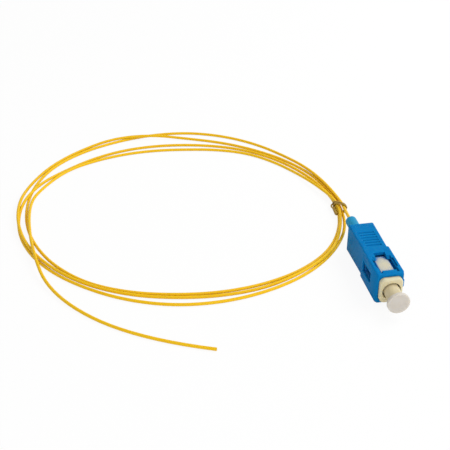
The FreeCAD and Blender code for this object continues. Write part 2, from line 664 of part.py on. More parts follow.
def main():
    nodes = {
        "outer_housing": outer_housing(),
        "plug_frame": plug_frame(),
        "ferrule": ferrule(),
        "ferrule_flange": ferrule_flange(),
        "ferrule_spring": ferrule_spring(),
        "stop_ring": stop_ring(),
        "guide_tube": guide_tube(),
        "buffer_stub": buffer_stub(),
        "bare_fibre": bare_fibre(),
        "boot": boot(),
        "dust_cap": dust_cap(),
        "fibre_lead": fibre_tube("fibre_lead", LEAD_POINTS),
        "fibre_coil": fibre_coil(),
        "fibre_tail": fibre_tube("fibre_tail", TAIL_POINTS),
        "wire_tie": wire_tie(),
    }
    os.makedirs("parts", exist_ok=True)
    for name, shape in nodes.items():
        shape.exportStep("parts/" + name + ".step")
        print(name, len(shape.Solids), "solid, valid", shape.isValid(), "volume", round(shape.Volume, 3))


main()
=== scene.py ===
# %% [markdown]
# # A fibre optic pigtail
# A pigtail is a plug on a single fibre: one end clicks into an adapter, the other is left bare to be spliced.
# The plug was drawn in CAD, because its parts have to fit each other to a few hundredths of a millimetre.
# Blender adds what CAD is poor at: the loose coil of fibre, the twisted tie, the soft edges that a mould leaves
# and the finish of every surface. All of it is built in the CAD model's own frame, in metres.

# %% Load the CAD parts
import math
import bpy
import bmesh
import numpy as np
from mathutils import Matrix, Vector


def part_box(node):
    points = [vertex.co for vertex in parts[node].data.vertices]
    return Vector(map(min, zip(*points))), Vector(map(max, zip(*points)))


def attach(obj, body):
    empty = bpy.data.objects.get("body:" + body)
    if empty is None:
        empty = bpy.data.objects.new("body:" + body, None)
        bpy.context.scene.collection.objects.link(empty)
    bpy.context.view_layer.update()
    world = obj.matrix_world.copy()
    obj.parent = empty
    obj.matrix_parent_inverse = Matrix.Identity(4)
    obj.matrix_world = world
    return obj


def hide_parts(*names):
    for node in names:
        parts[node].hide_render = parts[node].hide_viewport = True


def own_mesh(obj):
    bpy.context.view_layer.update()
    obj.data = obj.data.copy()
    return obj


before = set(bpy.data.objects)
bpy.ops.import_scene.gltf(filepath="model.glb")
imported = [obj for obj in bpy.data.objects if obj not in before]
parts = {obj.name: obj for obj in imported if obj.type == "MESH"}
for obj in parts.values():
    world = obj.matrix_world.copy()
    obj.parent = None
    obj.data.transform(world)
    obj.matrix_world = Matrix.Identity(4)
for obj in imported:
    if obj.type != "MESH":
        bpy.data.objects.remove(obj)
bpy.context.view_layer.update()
MM = 0.001


def new_piece(name, data):
    """An object for a mesh, a curve, a camera or a lamp, at the origin."""
    piece = bpy.data.objects.new(name, data)
    bpy.context.scene.collection.objects.link(piece)
    return piece


print("CAD parts:", ", ".join(sorted(parts)))

# %% [markdown]
# ## The camera
# The photograph was taken from the front and slightly left of the plug, looking down by about 32 degrees.
# A camera can be placed by eye, but here its place follows from the plug: the outline of the sleeve, a known
# 7.4 by 9.0 mm, gives the distance and the lens together. The same lens then shows how large the coil is.

# %% Camera
PICTURE_SIDE = 450
FOCAL_PIXELS = 940
SENSOR = 36.0
NEAREST = 10 * MM
FURTHEST = 10.0
CAMERA_PLACE = Vector((196.7, -79.1, 147.4)) * MM
LOOKS_DOWN = math.radians(32.1)
LOOKS_ALONG = Vector((-0.982, 0.189)).normalized()

camera_data = bpy.data.cameras.new("camera")
camera_data.sensor_width = SENSOR
camera_data.lens = FOCAL_PIXELS / PICTURE_SIDE * SENSOR
camera_data.clip_start = NEAREST
camera_data.clip_end = FURTHEST
camera = new_piece("camera", camera_data)
sight = Vector((LOOKS_ALONG.x * math.cos(LOOKS_DOWN),
                LOOKS_ALONG.y * math.cos(LOOKS_DOWN),
                -math.sin(LOOKS_DOWN)))
camera.location = CAMERA_PLACE
camera.rotation_euler = sight.to_track_quat("-Z", "Y").to_euler()
bpy.context.scene.camera = camera
print(f"lens {camera_data.lens:.1f} mm, {CAMERA_PLACE.length / MM:.0f} mm from the plug")

# %% [markdown]
# ## The fibre
# The glass is thinner than a hair, so it wears a tight yellow buffer, 0.9 mm thick, that is springy like a thin
# plastic rod. It leaves the boot, runs under the tie, makes three loose turns and most of a fourth, and ends in
# a tail that was simply cut. A physics simulation could coil it, but would not lay the turns where the
# photograph has them. So the radius of each turn was read off the photograph at every twelfth of a turn. A loop
# makes the points, and one more between every two readings, from the four readings nearest to it. The very last
# reading only shapes the point before it. The turns are tied at one place only, which is why they fan out at
# the back. The tie turns each strand inward a little, by the bend that the next point after it gets. Two
# strands come up to the tie a little to one side, by the spread of the point before it.

# %% Radius of every turn, from the tie round and back to it
FIBRE = 0.9 * MM
COIL_CENTRE = Vector((-46.4, -45.5)) * MM
TIE_BEARING = math.radians(79.1)
READINGS_PER_TURN = 12
STEP = math.radians(360 / READINGS_PER_TURN / 2)
TURN_RADII = [
    (47.95, 45.25, 46.9, 49.4, 48.8, 49.3, 47.0, 46.2, 46.5, 45.05, 46.6, 48.6),
    (46.60, 43.0, 41.4, 40.2, 41.8, 44.3, 48.4, 49.1, 48.5, 49.7, 49.8, 50.0),
    (47.50, 44.7, 43.0, 44.8, 50.0, 50.3, 49.2, 48.6, 47.5, 46.4, 48.2, 50.0),
    (47.05, 41.2, 39.6, 36.8, 39.0, 43.5, 46.3, 46.9),
]
TIE_BENDS = (0.8, 0.4, 0.6, 1.3)
TIE_SPREADS = (0.0, 0.85, -0.8)

readings = [radius * MM for turn in TURN_RADII for radius in turn]
radii = [readings[0]]
for before, here, after, beyond in zip(readings[:1] + readings, readings, readings[1:], readings[2:]):
    radii += [(9 * (here + after) - before - beyond) / 16, after]
for turn, bend in enumerate(TIE_BENDS):
    radii[turn * 2 * READINGS_PER_TURN + 1] -= bend * MM
for turn, spread in enumerate(TIE_SPREADS, 1):
    radii[turn * 2 * READINGS_PER_TURN - 1] += spread * MM
bearings = STEP * np.arange(len(radii))
one_turn = 2 * math.pi
print(f"{len(radii)} points in {bearings[-1] / one_turn:.2f} turns, "
      f"radii {min(radii) / MM:.1f} to {max(radii) / MM:.1f} mm")

# %% [markdown]
# Where two turns come closer than the fibre is thick, the later one lies on the earlier one. Only the first
# sixth of the first turn lies on top of all the others, because it comes down to them from the boot. Each point
# looks a little ahead and behind, so a crossing gets a raised point on both of its sides and becomes a long low
# hump. At the tie the four strands sit two on two, above the tie's own wire.

# %% Height of every point
TIE_WIRE = 0.5 * MM
TIE_HEIGHTS = (1.23, 0.45, 0.45, 1.23)
LEAD_ON_TOP = math.radians(60)
LOOKS = 5

heights = np.full(len(radii), FIBRE / 2)


def resting_height(bearing, turns_below):
    """Height at which the fibre lies on the turns below it, at one bearing."""
    radius = np.interp(bearing, bearings, radii)
    height = FIBRE / 2
    for turn in turns_below:
        below = bearing + turn * one_turn
        if below < 0 or below > bearings[-1]:
            continue
        aside = abs(radius - np.interp(below, bearings, radii))
        if aside < FIBRE:
            height = max(height, np.interp(below, bearings, heights) + math.sqrt(FIBRE ** 2 - aside ** 2))
    return height


def lay_down(first, last, turns_below):
    """Sets the height of the points from one bearing to another, once the turns below them lie."""
    for number in range(round(first / STEP), min(round(last / STEP), len(radii))):
        look = np.linspace(bearings[number] - STEP / 2, bearings[number] + STEP / 2, LOOKS)
        heights[number] = max(resting_height(bearing, turns_below) for bearing in look)


lay_down(LEAD_ON_TOP, one_turn, [])
for turn in (1, 2, 3):
    lay_down(turn * one_turn, turn * one_turn + LEAD_ON_TOP, [-below for below in range(1, turn)])
    lay_down(turn * one_turn + LEAD_ON_TOP, (turn + 1) * one_turn, [-below for below in range(1, turn + 1)])
lay_down(0, LEAD_ON_TOP, (1, 2, 3))
for turn, height in enumerate(TIE_HEIGHTS):
    heights[turn * 2 * READINGS_PER_TURN] = height * MM
from_tie = np.abs((bearings + math.pi) % one_turn - math.pi)
heights += TIE_WIRE * np.clip(1 - (from_tie / (2 * STEP)) ** 2, 0, 1)
print(f"the turns lie {min(heights) / MM:.2f} to {max(heights) / MM:.2f} mm above the table")

# %% [markdown]
# The lead from the boot and the tail follow the CAD route to about a millimetre, placed a little closer to the
# photograph. Together with the turns they are the control points of one NURBS spline, which bends as smoothly
# as a real fibre. Such a spline runs inside its points, so the turns' radii are widened by what it cuts off.
# Every point carries the fibre's true radius and the bevel depth is 1. Blender counts a point's radius into the
# curve's box, so with the usual radius of 1 the fibre would seem two metres wide.

# %% One spline from the boot to the cut end
SPLINE_ORDER = 3
SEGMENTS_PER_POINT = 10
ROUNDNESS = 4
LEAD_POINTS = [(-18.55, 0.0, 4.5), (-23.9, 0.0, 4.5), (-30.2, 0.9, 3.1)]
TAIL_POINTS = [(-29.6, -91.1, 2.7), (-7.4, -86.6, 0.45), (14.5, -66.6, 0.45), (22.1, -47.5, 0.45)]

route = [Vector(point) * MM for point in LEAD_POINTS]
for bearing, radius, height in zip(bearings, radii, heights):
    reach = radius / math.cos(STEP / 2)
    angle = TIE_BEARING + bearing
    route.append(Vector((COIL_CENTRE.x + reach * math.cos(angle),
                         COIL_CENTRE.y + reach * math.sin(angle), height)))
route += [Vector(point) * MM for point in TAIL_POINTS]

fibre_line = bpy.data.curves.new("fibre", "CURVE")
fibre_line.dimensions = "3D"
spline = fibre_line.splines.new("NURBS")
spline.points.add(len(route) - 1)
for point, place in zip(spline.points, route):
    point.co = (*place, 1.0)
    point.radius = FIBRE / 2
spline.order_u = SPLINE_ORDER
spline.use_endpoint_u = True
spline.resolution_u = SEGMENTS_PER_POINT
fibre = new_piece("fibre", fibre_line)


def plain_mesh(piece):
    """The mesh that an object shows now, with its modifiers or its curve worked out."""
    depsgraph = bpy.context.evaluated_depsgraph_get()
    return bpy.data.meshes.new_from_object(piece.evaluated_get(depsgraph), depsgraph=depsgraph)


fibre_path = [vertex.co.copy() for vertex in plain_mesh(fibre).vertices]
fibre_line.bevel_depth = 1.0
fibre_line.bevel_resolution = ROUNDNESS
fibre_line.use_fill_caps = True
walked = sum((b - a).length for a, b in zip(fibre_path, fibre_path[1:]))
print(f"the fibre is {walked:.3f} m long, its lowest centre {min(p.z for p in fibre_path) / MM:.2f} mm")

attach(fibre, "plug")
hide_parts("fibre_lead", "fibre_coil", "fibre_tail")

# %% [markdown]
# ## Colours and finishes
# Every finish is made of shader nodes, without pictures. A colour is written as the sRGB hex value that a paint
# program shows, and turned to the linear value that light is reckoned in. Plastics that come out of a mould or
# an extruder have much in common: a colour that clouds a little, a gloss that does the same and a faint grain.
# One function makes them all. The sizes of the clouds and the grain are given in millimetres, and the grain is
# coarser than the real one, so that it shows.


# %% Colours, nodes and plastics
def linear(hex_colour):
    """Turns an sRGB hex colour into the linear colour that a shader works in."""
    channels = [int(hex_colour[i:i + 2], 16) / 255 for i in (1, 3, 5)]
    return (*[c / 12.92 if c <= 0.04045 else ((c + 0.055) / 1.055) ** 2.4 for c in channels], 1.0)


def add(tree, kind, settings={}, links={}):
    """Adds one node, sets its properties and input values, and links sockets to its inputs."""
    node = tree.nodes.new(kind)
    for name, value in settings.items():
        if isinstance(name, int) or name in node.inputs:
            node.inputs[name].default_value = value
        else:
            setattr(node, name, value)
    for name, socket in links.items():
        tree.links.new(socket, node.inputs[name])
    return node


def blank(name):
    """A new material and its empty node tree."""
    material = bpy.data.materials.new(name)
    material.use_nodes = True
    material.node_tree.nodes.clear()
    return material, material.node_tree


def paint(tree, place, colour):
    """A socket with one hex colour, or with two that meet on the plug's axis: (rear, front, from mm, to mm)."""
    rear, front, start, end = colour if isinstance(colour, tuple) else (colour, colour, 0.0, 1.0)
    axis = add(tree, "ShaderNodeSeparateXYZ", {}, {0: place}).outputs["X"]
    share = add(tree, "ShaderNodeMapRange", {"From Min": start * MM, "From Max": end * MM}, {"Value": axis})
    return add(tree, "ShaderNodeMix", {"data_type": "RGBA", 6: linear(rear), 7: linear(front)},
               {0: share.outputs[0]}).outputs[2]


OPEN = 0.92
PAINTED_SHADE_SAMPLES = 8
GRAIN_STRENGTH = 0.6


def plastic(name, light, dark, cloud, grain, depth, roughness, uneven, settings, painted_shade=None, reach=0.5,
            deepest=0.4):
    """A plastic that clouds from light to dark, with cloud, grain, depth and reach in mm.

    A painted shade colour gathers where another surface comes within reach, standing in for the shade there.
    It is full where no more than the deepest share of the sky is left, and gone where the share is OPEN."""
    material, tree = blank(name)
    place = add(tree, "ShaderNodeTexCoord").outputs["Object"]
    clouds = add(tree, "ShaderNodeTexNoise", {"Scale": 1 / (cloud * MM), "Detail": 3.0}, {"Vector": place})
    colour = add(tree, "ShaderNodeMix", {"data_type": "RGBA"},
                 {0: clouds.outputs[0], 6: paint(tree, place, dark), 7: paint(tree, place, light)}).outputs[2]
    # Painted shade: a darker colour mixed in where other surfaces come close.
    if painted_shade:
        near = add(tree, "ShaderNodeAmbientOcclusion", {"samples": PAINTED_SHADE_SAMPLES, "Distance": reach * MM})
        open_sky = add(tree, "ShaderNodeMapRange", {"From Min": deepest, "From Max": OPEN},
                       {"Value": near.outputs["AO"]})
        colour = add(tree, "ShaderNodeMix", {"data_type": "RGBA"},
                     {0: open_sky.outputs[0], 6: paint(tree, place, painted_shade), 7: colour}).outputs[2]
    gloss = add(tree, "ShaderNodeMapRange", {"To Min": roughness - uneven, "To Max": roughness + uneven},
                {"Value": clouds.outputs[0]})
    grains = add(tree, "ShaderNodeTexNoise", {"Scale": 1 / (grain * MM), "Detail": 2.0}, {"Vector": place})
    bump = add(tree, "ShaderNodeBump", {"Strength": GRAIN_STRENGTH, "Distance": depth * MM},
               {"Height": grains.outputs[0]})
    shader = add(tree, "ShaderNodeBsdfPrincipled", settings,
                 {"Base Color": colour, "Roughness": gloss.outputs[0], "Normal": bump.outputs[0]})
    add(tree, "ShaderNodeOutputMaterial", {}, {"Surface": shader.outputs[0]})
    return material


print("a middle grey, #808080, is", round(linear("#808080")[0], 3), "in linear light")

# %% [markdown]
# ### The yellow buffer
# The buffer is soft PVC, drawn through a die with the glass in its middle. The die leaves it satin, and the
# yellow lets a little light through, so the strands glow on top. Where they press on each other and on the
# table, an olive painted shade darkens them.

# %% Extruded PVC, yellow
# Olive painted shade where the strands press on each other and on the table.
buffer_pvc = plastic("extruded PVC, yellow", "#f6c818", "#eebc12", cloud=6.0, grain=0.3, depth=0.004,
                     roughness=0.45, uneven=0.06,
                     settings={"IOR": 1.53, "Specular IOR Level": 0.15, "Subsurface Weight": 0.1,
                               "Subsurface Scale": 0.4 * MM, "Subsurface Radius": (1.0, 0.8, 0.2)},
                     painted_shade="#d0aa2c", reach=0.25)
fibre_line.materials.append(buffer_pvc)
print("the fibre wears", buffer_pvc.name)

# %% [markdown]
# ## The wire tie
# A short length of coated wire holds the coil next to the boot: twice round the three strands and the lead, at
# a slant, with its two ends twisted together on the inside of the coil. The strands' places are read from the
# spline, so the wire lies on them whatever the coil does. In each direction the wire touches the strand that
# stands out furthest, which is all that is needed to go round a bundle.

# %% Where the strands pass the tie
TIE_TURNED = math.radians(-1.5)
TIE_REACH = 7 * MM

tie_angle = TIE_BEARING + TIE_TURNED
outward = Vector((math.cos(tie_angle), math.sin(tie_angle), 0.0))
along = Vector((-math.sin(tie_angle), math.cos(tie_angle), 0.0))
upward = Vector((0.0, 0.0, 1.0))
coil_middle = COIL_CENTRE.to_3d()

strands = [[]]
for point in fibre_path:
    place = point - coil_middle
    if place.dot(outward) > 0 and abs(place.dot(along)) < TIE_REACH:
        strands[-1].append((place.dot(along), place.dot(outward), place.z))
    elif strands[-1]:
        strands.append([])
strands = [np.array(sorted(strand)) for strand in strands if strand]
print(len(strands), "strands pass the tie")

# %% The wire's path
WRAPS = 2
POINTS_PER_WRAP = 36
WRAP_PITCH = 0.8 * MM
WRAP_SLANT = 1.0
WRAP_MIDDLE = Vector((47.7, -1.15)) * MM
TWIST_LENGTH = 3.9 * MM
TWIST_PITCH = 1.7 * MM
TWIST_RADIUS = 0.52 * TIE_WIRE
TWIST_START = Vector((45.8, -0.8, 1.0)) * MM
TWIST_WAY = Vector((0.12, -0.98, 0.07)).normalized()
POINTS_PER_TWIST = 12
CLEAR_OF_WRAP = Vector((0.4 * MM, 0.0, 0.0))
JOINING_SHARES = (0.7, 0.3)
SLANT_STEPS = 4


def beside_bundle(angle, aside):
    """Place of the wire, outward and up, where it goes round the bundle in one direction."""
    way = Vector((math.cos(angle), math.sin(angle)))
    centres = [Vector([np.interp(aside, strand[:, 0], strand[:, column]) for column in (1, 2)])
               for strand in strands]
    place = max(centres, key=way.dot) + way * (FIBRE + TIE_WIRE) / 2
    return place.x, max(place.y, TIE_WIRE / 2)


wraps = []
for number in range(WRAPS * POINTS_PER_WRAP + 1):
    share = number / (WRAPS * POINTS_PER_WRAP)
    angle = math.pi - one_turn * WRAPS * share
    level = WRAP_MIDDLE.y + WRAP_PITCH * WRAPS * (0.5 - share)
    aside = level
    for _ in range(SLANT_STEPS):
        out, up = beside_bundle(angle, aside)
        aside = level - WRAP_SLANT * (out - WRAP_MIDDLE.x)
    wraps.append(Vector((out, aside, up)))

twists = []
for side in (math.pi, 0.0):
    twist = []
    for number in range(round(TWIST_LENGTH / TWIST_PITCH * POINTS_PER_TWIST) + 1):
        angle = side + one_turn * number / POINTS_PER_TWIST
        middle = TWIST_START + TWIST_WAY * TWIST_PITCH * number / POINTS_PER_TWIST
        twist.append(middle + Vector((math.cos(angle), 0.0, math.sin(angle))) * TWIST_RADIUS)
    twists.append(twist)

joining = [wraps[0].lerp(twists[0][0], share) - CLEAR_OF_WRAP for share in JOINING_SHARES]
tie_path = list(reversed(twists[0])) + joining + wraps + twists[1]
tie_path = [coil_middle + outward * p.x + along * p.y + upward * p.z for p in tie_path]
print(f"the tie's wire has {len(tie_path)} points")

# %% [markdown]
# The wire itself is a Geometry Nodes tree that sweeps a circle along any line of points. The same end of the
# tree serves the spring later on, so it is a function of its own. The tree's inputs are set by identifier
# before the object is first worked out, and the result is kept as a plain mesh.


# %% Geometry Nodes for wire
WIRE_SIDES = 12


def wire_tree(name, inputs):
    """An empty Geometry Nodes tree with named inputs, and the sockets that hand them out."""
    tree = bpy.data.node_groups.new(name, "GeometryNodeTree")
    tree.interface.new_socket("Geometry", in_out="INPUT", socket_type="NodeSocketGeometry")
    for title in inputs:
        tree.interface.new_socket(title, in_out="INPUT", socket_type="NodeSocketFloat")
    tree.interface.new_socket("Material", in_out="INPUT", socket_type="NodeSocketMaterial")
    tree.interface.new_socket("Geometry", in_out="OUTPUT", socket_type="NodeSocketGeometry")
    return tree, add(tree, "NodeGroupInput").outputs


def sweep_wire(tree, line, inputs):
    """Ends a tree: a circle swept along the line, smooth, realized and painted."""
    ring = add(tree, "GeometryNodeCurvePrimitiveCircle", {"Resolution": WIRE_SIDES},
               {"Radius": inputs["Wire Radius"]})
    swept = add(tree, "GeometryNodeCurveToMesh", {"Fill Caps": True},
                {"Curve": line, "Profile Curve": ring.outputs["Curve"]})
    smooth = add(tree, "GeometryNodeSetShadeSmooth", {}, {"Geometry": swept.outputs["Mesh"]})
    real = add(tree, "GeometryNodeRealizeInstances", {}, {"Geometry": smooth.outputs["Geometry"]})
    painted = add(tree, "GeometryNodeSetMaterial", {},
                  {"Geometry": real.outputs["Geometry"], "Material": inputs["Material"]})
    add(tree, "NodeGroupOutput", {}, {"Geometry": painted.outputs["Geometry"]})


def settle(piece):
    """Keeps what the piece's modifiers made as its plain mesh."""
    piece.data, unworked = plain_mesh(piece), piece.data
    piece.modifiers.clear()
    bpy.data.meshes.remove(unworked)
    return piece


def grow(piece, tree, values):
    """Runs a tree on a piece with these input values."""
    modifier = piece.modifiers.new(tree.name, "NODES")
    modifier.node_group = tree
    for item in tree.interface.items_tree:
        if item.in_out == "INPUT" and item.name in values:
            modifier[item.identifier] = values[item.name]
    return settle(piece)


tie_tree, tie_inputs = wire_tree("wire along a path", ["Wire Radius", "Spacing"])
tie_line = add(tie_tree, "GeometryNodeMeshToCurve", {}, {"Mesh": tie_inputs["Geometry"]})
tie_bends = add(tie_tree, "GeometryNodeCurveSplineType", {"spline_type": "CATMULL_ROM"},
                {"Curve": tie_line.outputs["Curve"]})
tie_even = add(tie_tree, "GeometryNodeResampleCurve", {"mode": "LENGTH"},
               {"Curve": tie_bends.outputs["Curve"], "Length": tie_inputs["Spacing"]})
sweep_wire(tie_tree, tie_even.outputs["Curve"], tie_inputs)
print(f"{tie_tree.name}: {len(tie_tree.nodes)} nodes")

# %% Coated tie wire, olive gold
# A thin lacquer over iron wire: it shines in short streaks, and a painted shade darkens it where the wires
# meet.
TIE_SPACING = 0.12 * MM

tie_coat = plastic("coated iron wire, olive gold", "#c9a544", "#86671f", cloud=1.1, grain=0.25, depth=0.02,
                   roughness=0.38, uneven=0.1, settings={"IOR": 1.5, "Specular IOR Level": 0.3},
                   painted_shade="#4a3410", reach=0.3)

tie_mesh = bpy.data.meshes.new("wire_tie_path")
tie_mesh.from_pydata(tie_path, [(i, i + 1) for i in range(len(tie_path) - 1)], [])
tie = grow(new_piece("twisted_tie", tie_mesh), tie_tree,
           {"Wire Radius": TIE_WIRE / 2, "Spacing": TIE_SPACING, "Material": tie_coat})
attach(tie, "plug")
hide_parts("wire_tie")
print(f"the tie has {len(tie.data.polygons)} faces, "
      f"lowest point {min(v.co.z for v in tie.data.vertices) / MM:.2f} mm")

# %% [markdown]
# ## The spring
# Behind the ferrule sits a compression spring, which shows through the slot in the side of the plug. Its wire
# follows a rule: a circle that advances evenly, but more slowly near both ends, where the coils of a real
# spring close up to sit flat. So it is a tree of its own. In a real plug the spring is squeezed as the ferrule
# is pushed in; here it keeps its CAD length.

# %% Spring
SPRING_WIRE = 0.45 * MM
SPRING_TURNS = 4.0
SPRING_CLOSING = 0.55
POINTS_PER_COIL = 40

spring_tree, spring_inputs = wire_tree(
    "compression spring", ["Wire Radius", "Coil Radius", "Turns", "Start", "Rise", "Closing", "Axis Height"])
circle = add(spring_tree, "GeometryNodeCurveSpiral", {"Resolution": POINTS_PER_COIL, "Height": 0.0},
             {"Rotations": spring_inputs["Turns"], "Start Radius": spring_inputs["Coil Radius"],
              "End Radius": spring_inputs["Coil Radius"]})
position = add(spring_tree, "GeometryNodeInputPosition")
around = add(spring_tree, "ShaderNodeSeparateXYZ", {}, {0: position.outputs[0]})
even = add(spring_tree, "GeometryNodeSplineParameter").outputs["Factor"]
eased = add(spring_tree, "ShaderNodeMapRange", {"interpolation_type": "SMOOTHSTEP"}, {"Value": even})
advance = add(spring_tree, "ShaderNodeMix", {"data_type": "FLOAT"},
              {0: spring_inputs["Closing"], 2: even, 3: eased.outputs[0]})
forward = add(spring_tree, "ShaderNodeMath", {"operation": "MULTIPLY_ADD"},
              {0: advance.outputs[0], 1: spring_inputs["Rise"], 2: spring_inputs["Start"]})
lifted = add(spring_tree, "ShaderNodeMath", {"operation": "ADD"},
             {0: around.outputs["Y"], 1: spring_inputs["Axis Height"]})
helix = add(spring_tree, "ShaderNodeCombineXYZ", {},
            {"X": forward.outputs[0], "Y": around.outputs["X"], "Z": lifted.outputs[0]})
coiled = add(spring_tree, "GeometryNodeSetPosition", {},
             {"Geometry": circle.outputs["Curve"], "Position": helix.outputs[0]})
sweep_wire(spring_tree, coiled.outputs["Geometry"], spring_inputs)
print(f"{spring_tree.name}: {len(spring_tree.nodes)} nodes")

# %% [markdown]
# ### Bare metals
# Drawn wire and turned brass carry fine marks of the tool, which stretch a highlight across them. The marks
# are bands along the plug's axis, far coarser than the real hundredth of a millimetre so that they show.

# %% Metals
PATCH = 2.0 * MM
MARK_DEPTH = 0.01 * MM
MARK_STRENGTH = 0.4
MARK_GLOSS = 0.12
WAVE_LENGTH = math.pi / 10


def metal(name, light, dark, mark, roughness):
    """A metal with tool marks, mark mm apart along the plug's axis, and a slightly patchy colour."""
    material, tree = blank(name)
    place = add(tree, "ShaderNodeTexCoord").outputs["Object"]
    patches = add(tree, "ShaderNodeTexNoise", {"Scale": 1 / PATCH, "Detail": 2.0}, {"Vector": place})
    colour = add(tree, "ShaderNodeMix", {"data_type": "RGBA", 6: linear(dark), 7: linear(light)},
                 {0: patches.outputs[0]})
    marks = add(tree, "ShaderNodeTexWave", {"bands_direction": "X", "Scale": WAVE_LENGTH / (mark * MM),
                                            "Distortion": 1.0, "Detail": 1.0}, {"Vector": place})
    gloss = add(tree, "ShaderNodeMapRange", {"To Min": roughness, "To Max": roughness + MARK_GLOSS},
                {"Value": marks.outputs[1]})
    bump = add(tree, "ShaderNodeBump", {"Strength": MARK_STRENGTH, "Distance": MARK_DEPTH},
               {"Height": marks.outputs[1]})
    shader = add(tree, "ShaderNodeBsdfPrincipled", {"Metallic": 1.0},
                 {"Base Color": colour.outputs[2], "Roughness": gloss.outputs[0], "Normal": bump.outputs[0]})
    add(tree, "ShaderNodeOutputMaterial", {}, {"Surface": shader.outputs[0]})
    return material


spring_steel = metal("drawn spring steel", "#b9b8b4", "#8f8e8a", mark=0.12, roughness=0.28)
nickel = metal("turned brass, nickel plated", "#cfc9bb", "#aca596", mark=0.15, roughness=0.24)

spring_low, spring_high = [Vector(corner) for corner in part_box("ferrule_spring")]
spring_length = spring_high.x - spring_low.x
axis_height = (spring_low.z + spring_high.z) / 2
spring = grow(new_piece("coil_spring", bpy.data.meshes.new("coil_spring")), spring_tree, {
    "Wire Radius": SPRING_WIRE / 2, "Coil Radius": (spring_high.y - spring_low.y - SPRING_WIRE) / 2,
    "Turns": SPRING_TURNS, "Start": spring_low.x + SPRING_WIRE / 2,
    "Rise": spring_length - SPRING_WIRE, "Closing": SPRING_CLOSING, "Axis Height": axis_height,
    "Material": spring_steel})
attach(spring, "plug")
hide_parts("ferrule_spring")
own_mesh(spring)
print(f"the spring is {spring_length / MM:.2f} mm long with {len(spring.data.polygons)} faces")

# %% [markdown]
# ## The sleeve and the frame
# The blue sleeve and the ivory frame are injection moulded. CAD gives their true walls, windows and ramps, but
# leaves most edges knife sharp, and a mould never does: each edge has a small radius that catches the light. A
# copy of the CAD mesh is merged, its flat triangles are joined to whole faces, and a Bevel rounds what is left.


# %% Soft edges on a copy of a CAD part
MERGE = 0.002 * MM
FLAT = math.radians(1.0)
EDGE_ANGLE = math.radians(28)
MOULD_EDGE = 0.1 * MM
MOULD_STEPS = 2


def soften(piece, width, steps):
    """Rounds the edges of a piece by a bevel of this width, in so many steps, and keeps the result."""
    for face in piece.data.polygons:
        face.use_smooth = True
    bevel = piece.modifiers.new("soft edges", "BEVEL")
    bevel.width = width
    bevel.segments = steps
    bevel.limit_method = "ANGLE"
    bevel.angle_limit = EDGE_ANGLE
    bevel.harden_normals = True
    return settle(piece)


def moulded_copy(node, name):
    """A copy of a CAD part with whole faces and rounded edges."""
    mesh = bpy.data.meshes.new(name)
    faces = bmesh.new()
    faces.from_mesh(parts[node].data)
    bmesh.ops.remove_doubles(faces, verts=faces.verts, dist=MERGE)
    bmesh.ops.dissolve_limit(faces, angle_limit=FLAT, verts=faces.verts, edges=faces.edges)
    faces.to_mesh(mesh)
    faces.free()
    return soften(new_piece(name, mesh), MOULD_EDGE, MOULD_STEPS)


sleeve = moulded_copy("outer_housing", "moulded_sleeve")
inner_frame = moulded_copy("plug_frame", "moulded_frame")
for piece, body, node, slot in ((sleeve, "housing", "outer_housing", "housing_blue"),
                                (inner_frame, "plug", "plug_frame", "frame_ivory")):
    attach(piece, body)
    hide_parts(node)
    print(piece.name, "has", len(piece.data.polygons), "faces")

# %% [markdown]
# ### Moulded PBT
# Both are PBT, a stiff and slippery plastic. The mould for the sleeve was finely spark eroded, so the blue is
# satin rather than glossy. The ivory has no dye and lets light a little way in, which softens its shadows. The
# real grain of a few hundredths of a millimetre is drawn ten times as coarse, or it would not show. Deep in the
# slots the ivory gets a painted blue shade, standing in for the shade and for the blue light that the sleeve
# throws there; towards the front that painted shade is ivory. The blue gets a darker painted shade in its
# hollows.

# %% PBT, blue and ivory
# From 9 to 11.5 mm along the axis, the ivory's painted shade turns from blue to ivory.
PAINTED_SHADE_ENDS = (9.0, 11.5)

# A darker blue painted shade where other surfaces come close to the sleeve.
blue_pbt = plastic("moulded PBT, blue", "#0c7cbe", "#0a74b3", cloud=4.0, grain=0.22, depth=0.008,
                   roughness=0.42, uneven=0.05,
                   settings={"IOR": 1.46, "Specular IOR Level": 0.01, "Subsurface Weight": 0.3,
                             "Subsurface Scale": 1.2 * MM, "Subsurface Radius": (0.3, 0.7, 1.0)},
                   painted_shade="#0c5a96")
ivory_pbt = plastic("moulded PBT, ivory", "#e0d8b9", "#d8cfad", cloud=3.0, grain=0.3, depth=0.006,
                    roughness=0.45, uneven=0.05,
                    settings={"IOR": 1.5, "Specular IOR Level": 0.25, "Subsurface Weight": 0.35,
                              "Subsurface Scale": 0.9 * MM, "Subsurface Radius": (1.0, 0.85, 0.6)},
                    painted_shade=("#1470b8", "#e4d8b2", *PAINTED_SHADE_ENDS), reach=3.8, deepest=0.68)
for piece, finish in ((sleeve, blue_pbt), (inner_frame, ivory_pbt)):
    piece.data.materials.clear()
    piece.data.materials.append(finish)
    print(piece.name, "is", finish.name)

# %% [markdown]
# ## The dust cap and the boot
# Both are round, so each is one outline turned about the plug's axis. CAD draws them with as few facets as it
# can; here the outline is turned in 96 steps and its corners are rounded, because soft plastics fill a mould
# less sharply. The cap is polyethylene, milky and waxy. Its stem is painted creamier than the solid head, a
# painted glow for the light that the stem's thin wall lets through. The boot is a rubbery plastic in a lighter
# blue.

# %% Turned pieces
TURN_STEPS = 96
RIM_STEPS = 3


